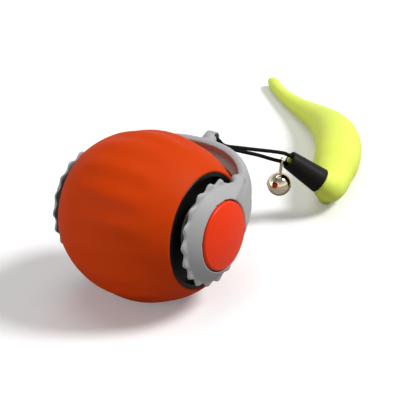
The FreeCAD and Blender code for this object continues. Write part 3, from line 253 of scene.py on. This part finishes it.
# Satin orange-red ABS: redder and smoother than the silicone beside it
abs_red = moulded("orange_red_abs_satin", "#fb3f12", "#f53b0f", 0.36, 0.25, 0.003,
                  specular=0.16)
# Natural acetal of the gears and bushings: milky white with a waxy shine
acetal_white = moulded("natural_acetal_moulded", "#e4e2da", "#dbd9d0", 0.42, 0.25, 0.005)
# Cut foam tape: open grey cells, no shine at all
foam_grey = moulded("grey_foam_cut", "#6c6c6c", "#5c5c5c", 0.9, 0.5, 0.12)
# Green lacquer of a circuit board: glossy, with the copper's slight relief under it
solder_mask = moulded("green_solder_mask", "#1c6a3a", "#175c31", 0.35, 0.6, 0.006)
# Epoxy body of a chip: charcoal with a fine sandy face
chip_resin = moulded("black_epoxy_moulded", "#1c1c1d", "#161617", 0.55, 0.3, 0.006)
# Painted cast iron: dark grey with the pitted skin of a casting
iron_weight = moulded("cast_iron_painted", "#4a4a4a", "#424242", 0.6, 0.5, 0.05)
# Foil pouch of the cell: silver with a soft wavy shine
cell_foil = plated("laminated_foil", "#cfd0d3", 0.33)
# Warm nickel plate: a mirror with a yellowish cast and a trace of haze
nickel = plated("warm_nickel_polished", "#ecdcc2", 0.07)
# Zinc plate on screws and can: cool grey with fine streaks
steel_zinc = plated("zinc_plated_steel", "#c4c5c7", 0.32, brushed_mm=0.3)

finishes = {
    "silicone_orange": silicone_orange, "silicone_lime": silicone_lime,
    "rubber_black": rubber_black, "cord_black": elastic_black, "plastic_black": abs_black,
    "plastic_grey": abs_grey, "plastic_red": abs_red, "plastic_white": acetal_white,
    "bell_chrome": nickel, "steel": steel_zinc, "weight_iron": iron_weight,
    "board_green": solder_mask, "chip_black": chip_resin, "battery_foil": cell_foil,
    "foam_grey": foam_grey}
for part in frame["record"]["subparts"]:
    for slot in nodes[part["node"]].material_slots:
        slot.material = finishes[part["material_slot"]]


def finish_with(piece, slot_name):
    piece.data.materials.clear()
    piece.data.materials.append(finishes[slot_name])


def strand_offset():
    """From the sleeve's axis up to the upper strand, square to the axis."""
    up = Vector((0.0, 0.0, 1.0))
    up -= SLEEVE_WAY * up.dot(SLEEVE_WAY)
    return up.normalized() * STRAND_OFFSET


def elastic_cord():
    """One strand from the sleeve to the eyelet, through it, and the other strand back."""
    off = strand_offset()
    inside = SLEEVE_START + SLEEVE_WAY * CORD_END_DEPTH
    mouth = SLEEVE_START - SLEEVE_WAY * CORD_LEAD
    points = [inside + off, mouth + off, Vector((0.0122, 0.0662, 0.0319)),
              Vector((0.0089, 0.0580, 0.0356)), Vector((0.0056, 0.0502, 0.0392)),
              EYELET + Vector((0.00340, 0.0021, -0.0038)),
              EYELET + Vector((0.00305, 0.0, 0.0)), EYELET - Vector((0.00305, 0.0, 0.0)),
              EYELET + Vector((-0.00315, 0.0024, -0.0030)), Vector((-0.0003, 0.0486, 0.0392)),
              Vector((0.0036, 0.0555, 0.0348)), Vector((0.0070, 0.0624, 0.0310)),
              Vector((0.0101, 0.0689, 0.0266)), mouth - off, inside - off]
    data = bpy.data.curves.new("elastic_cord", "CURVE")
    data.dimensions = "3D"
    data.bevel_depth = CORD_DIAMETER / 2
    data.bevel_resolution = 6
    data.resolution_u = 10
    data.use_fill_caps = True
    line = data.splines.new("NURBS")
    line.points.add(len(points) - 1)
    for point, place in zip(line.points, points):
        point.co = (*place, 1.0)
    line.order_u = 3
    line.use_endpoint_u = True
    route = bpy.data.objects.new("elastic_cord_route", data)
    scene.collection.objects.link(route)
    tube = bpy.data.meshes.new_from_object(route)
    tube.name = "elastic_cord"
    data.bevel_depth = 0.0
    path = [tuple(v.co) for v in bpy.data.meshes.new_from_object(route).vertices]
    bpy.data.objects.remove(route)
    cord = bpy.data.objects.new("elastic_cord", tube)
    scene.collection.objects.link(cord)
    finish_with(cord, "cord_black")
    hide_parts("cord_loop")
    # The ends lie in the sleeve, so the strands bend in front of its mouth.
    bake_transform(cord)


elastic_cord()


def only(piece):
    bpy.ops.object.select_all(action="DESELECT")
    piece.select_set(True)
    bpy.context.view_layer.objects.active = piece


def apply_all(piece):
    only(piece)
    for modifier in list(piece.modifiers):
        bpy.ops.object.modifier_apply(modifier=modifier.name)


def replace(piece, node_name, body, slot_name):
    """The piece takes its CAD node's place, finish and motion."""
    finish_with(piece, slot_name)
    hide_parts(node_name)
    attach(piece, body)


def ringed_tube(name, centres, radii, way, around):
    """A thin round skin, drawn as one ring and then extruded and resized ring by ring."""
    bpy.ops.object.select_all(action="DESELECT")
    bpy.ops.mesh.primitive_circle_add(vertices=around, radius=radii[0], location=centres[0],
                                      rotation=way.to_track_quat("Z", "Y").to_euler())
    piece = bpy.context.object
    piece.name = piece.data.name = name
    bpy.ops.object.transform_apply(location=True, rotation=True, scale=True)
    bpy.ops.object.mode_set(mode="EDIT")
    bpy.ops.mesh.select_all(action="SELECT")
    for i in range(1, len(centres)):
        bpy.ops.mesh.extrude_region_move(
            TRANSFORM_OT_translate={"value": centres[i] - centres[i - 1]})
        bpy.ops.transform.resize(value=(radii[i] / radii[i - 1],) * 3,
                                 center_override=centres[i])
    bpy.ops.mesh.select_all(action="SELECT")
    bpy.ops.mesh.normals_make_consistent(inside=False)
    bpy.ops.object.mode_set(mode="OBJECT")
    return piece


def thicken(piece, wall, rim_round):
    """Gives the skin its wall, inwards, and rounds the edges of its two rims."""
    skin = piece.modifiers.new("wall", "SOLIDIFY")
    skin.thickness = wall
    skin.offset = -1.0
    skin.use_even_offset = True
    rim = piece.modifiers.new("rim", "BEVEL")
    rim.width = rim_round
    rim.segments = 3
    rim.limit_method = "ANGLE"
    rim.angle_limit = math.radians(45)
    apply_all(piece)
    bpy.ops.object.shade_smooth()


def silicone_cover():
    """The ball's skin: an ellipse turned about the axle, with soft ribs along the axle."""
    rings, around = 40, RIB_COUNT * 12
    centres, radii = [], []
    for i in range(rings + 1):
        x = -COVER_END_X + 2 * COVER_END_X * i / rings
        centres.append(Vector((x, 0.0, BALL_CENTRE.z)))
        radii.append(BALL_RADIUS * math.sqrt(1 - (x / BALL_HALF_LENGTH) ** 2))
    piece = ringed_tube("silicone_cover", centres, radii, Vector((1.0, 0.0, 0.0)), around)
    grooves = piece.vertex_groups.new(name="grooves")
    for vertex in piece.data.vertices:
        x, y, z = vertex.co.x, vertex.co.y, vertex.co.z - BALL_CENTRE.z
        fade = min(max((RIB_END_X - abs(x)) / (RIB_END_X - RIB_FULL_X), 0.0), 1.0)
        wave = 0.5 - 0.5 * math.cos(RIB_COUNT * math.atan2(z, y))
        grooves.add([vertex.index], wave * fade * fade * (3 - 2 * fade), "REPLACE")
    press = piece.modifiers.new("press", "DISPLACE")
    press.vertex_group = "grooves"
    press.mid_level = 0.0
    press.strength = -GROOVE_DEPTH
    thicken(piece, COVER_WALL, COVER_RIM_ROUND)
    replace(piece, "ball_cover", "drum", "silicone_orange")


def rubber_sleeve():
    """A tapered tube that holds the cord's ends and the tail's stem."""
    steps = 6
    centres = [SLEEVE_START.lerp(SLEEVE_END, i / steps) for i in range(steps + 1)]
    radii = [SLEEVE_START_RADIUS + (SLEEVE_END_RADIUS - SLEEVE_START_RADIUS) * i / steps
             for i in range(steps + 1)]
    piece = ringed_tube("rubber_sleeve", centres, radii, SLEEVE_WAY, 48)
    thicken(piece, SLEEVE_WALL, SLEEVE_RIM_ROUND)
    replace(piece, "cord_sleeve", "tail", "rubber_black")


def swelling(place, half_sizes):
    """A smooth lump on the bracket's arch, which melts into the moulding."""
    bpy.ops.object.select_all(action="DESELECT")
    bpy.ops.mesh.primitive_uv_sphere_add(segments=32, ring_count=16, radius=1.0, location=place,
                                         rotation=(ARCH_TILT, 0.0, 0.0), scale=half_sizes)
    bpy.ops.object.transform_apply(location=True, rotation=True, scale=True)
    return bpy.context.object


def rounded_copy(node_name, name, grid_mm, passes, lumps=()):
    """A merged copy of a CAD solid whose hard edges are rounded as in a mould."""
    source = nodes[node_name]
    piece = source.copy()
    piece.data = source.data.copy()
    piece.name = piece.data.name = name
    scene.collection.objects.link(piece)
    only(piece)
    bpy.ops.mesh.customdata_custom_splitnormals_clear()
    bpy.ops.object.mode_set(mode="EDIT")
    bpy.ops.mesh.select_all(action="SELECT")
    bpy.ops.mesh.remove_doubles(threshold=1e-6)
    bpy.ops.object.mode_set(mode="OBJECT")
    if lumps:
        only(piece)
        for lump in lumps:
            lump.select_set(True)
        bpy.ops.object.join()
    grid = piece.modifiers.new("grid", "REMESH")
    grid.mode = "VOXEL"
    grid.voxel_size = grid_mm * MM
    soften = piece.modifiers.new("soften", "SMOOTH")
    soften.factor = 0.5
    soften.iterations = passes
    apply_all(piece)
    bpy.ops.object.shade_smooth()
    return piece


def arch_place(x, reach, height):
    """A point given across the arch, along its reach from the axle and above its plane."""
    return BALL_CENTRE + Vector((x, reach * math.cos(ARCH_TILT) - height * math.sin(ARCH_TILT),
                                 reach * math.sin(ARCH_TILT) + height * math.cos(ARCH_TILT)))


def bracket_moulding():
    """The bracket with soft edges, a rounded foot under its eyelet and fillets at its necks."""
    lumps = [swelling(arch_place(0.0020, 0.0408, 0.0009), (0.0027, 0.0031, 0.0030))]
    for side in (-1, 1):
        lumps.append(swelling(arch_place(side * 0.0287, 0.0224, 0.0056), (0.0022, 0.0026, 0.0024)))
        lumps.append(swelling(arch_place(side * 0.0281, 0.0207, 0.0068), (0.0019, 0.0024, 0.0023)))
    piece = rounded_copy("bracket", "bracket_moulding", BRACKET_GRID_MM, BRACKET_PASSES, lumps)
    replace(piece, "bracket", "chassis", "plastic_grey")


def button_spring():
    """Gives the button's spring a mesh of its own."""
    spring = nodes["button_spring"]
    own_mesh(spring)


button_spring()
silicone_cover()
rubber_sleeve()
bracket_moulding()
replace(rounded_copy("tail", "silicone_tail", TAIL_GRID_MM, TAIL_PASSES), "tail", "tail",
        "silicone_lime")


def floor():
    """White paper. The camera sees part of it as its own light, which keeps shadows neutral."""
    bpy.ops.object.select_all(action="DESELECT")
    bpy.ops.mesh.primitive_plane_add(size=FLOOR_SIZE, location=(0.0, 0.0, FLOOR_Z))
    ground = bpy.context.object
    ground.name = "floor"
    made = bpy.data.materials.new("white_paper_backdrop")
    made.use_nodes = True
    tree = made.node_tree
    tree.nodes.clear()
    seen = add(tree, "ShaderNodeLightPath").outputs["Is Camera Ray"]
    shade = add(tree, "ShaderNodeMix", {"data_type": "RGBA"}, n0=seen,
                n6=(FLOOR_BOUNCE,) * 3 + (1.0,), n7=(FLOOR_SEEN,) * 3 + (1.0,))
    body = add(tree, "ShaderNodeBsdfDiffuse", Color=shade.outputs[2])
    glow = add(tree, "ShaderNodeEmission", Strength=seen)
    glow.inputs["Color"].default_value = (FLOOR_GLOW,) * 3 + (1.0,)
    both = add(tree, "ShaderNodeAddShader", n0=body.outputs[0], n1=glow.outputs[0])
    out = add(tree, "ShaderNodeOutputMaterial")
    tree.links.new(both.outputs[0], out.inputs["Surface"])
    ground.data.materials.append(made)


def sun(name, bearing, elevation, strength, spread):
    """A soft lamp. Its bearing goes from the camera's right towards the back, in degrees."""
    angle = math.radians(CAMERA_AZIMUTH + bearing)
    height = math.radians(elevation)
    towards = Vector((math.cos(angle) * math.cos(height), math.sin(angle) * math.cos(height),
                      math.sin(height)))
    data = bpy.data.lights.new(name, "SUN")
    data.energy = strength
    data.angle = math.radians(spread)
    lamp = bpy.data.objects.new(name, data)
    lamp.rotation_euler = towards.to_track_quat("Z", "Y").to_euler()
    scene.collection.objects.link(lamp)


def world():
    """White to the camera, dim as a light, and in mirrors white at the horizon and grey above."""
    made = bpy.data.worlds.new("studio")
    scene.world = made
    made.use_nodes = True
    tree = made.node_tree
    tree.nodes.clear()
    path = add(tree, "ShaderNodeLightPath")
    way = add(tree, "ShaderNodeSeparateXYZ",
              Vector=add(tree, "ShaderNodeTexCoord").outputs["Generated"])
    mirror = add(tree, "ShaderNodeMapRange", Value=way.outputs["Z"], n1=HORIZON_END,
                 n2=TOP_START, n3=MIRRORED_HORIZON, n4=MIRRORED_TOP)
    glossy = add(tree, "ShaderNodeMix", {"data_type": "FLOAT"}, n0=path.outputs["Is Glossy Ray"],
                 n2=WORLD_LIGHT, n3=mirror.outputs[0])
    strength = add(tree, "ShaderNodeMix", {"data_type": "FLOAT"},
                   n0=path.outputs["Is Camera Ray"], n2=glossy.outputs[0], n3=WORLD_SEEN)
    sky = add(tree, "ShaderNodeBackground", Color=(1.0, 1.0, 1.0, 1.0),
              Strength=strength.outputs[0])
    out = add(tree, "ShaderNodeOutputWorld")
    tree.links.new(sky.outputs[0], out.inputs["Surface"])


floor()
world()
sun("key_softbox", -4.0, 46.0, 2.75, 20.0)
sun("top_softbox", 90.0, 80.0, 0.60, 40.0)
sun("left_softbox", 197.0, 9.0, 1.05, 40.0)
sun("front_softbox", 240.0, 25.0, 0.20, 40.0)
scene.view_settings.view_transform = "Standard"
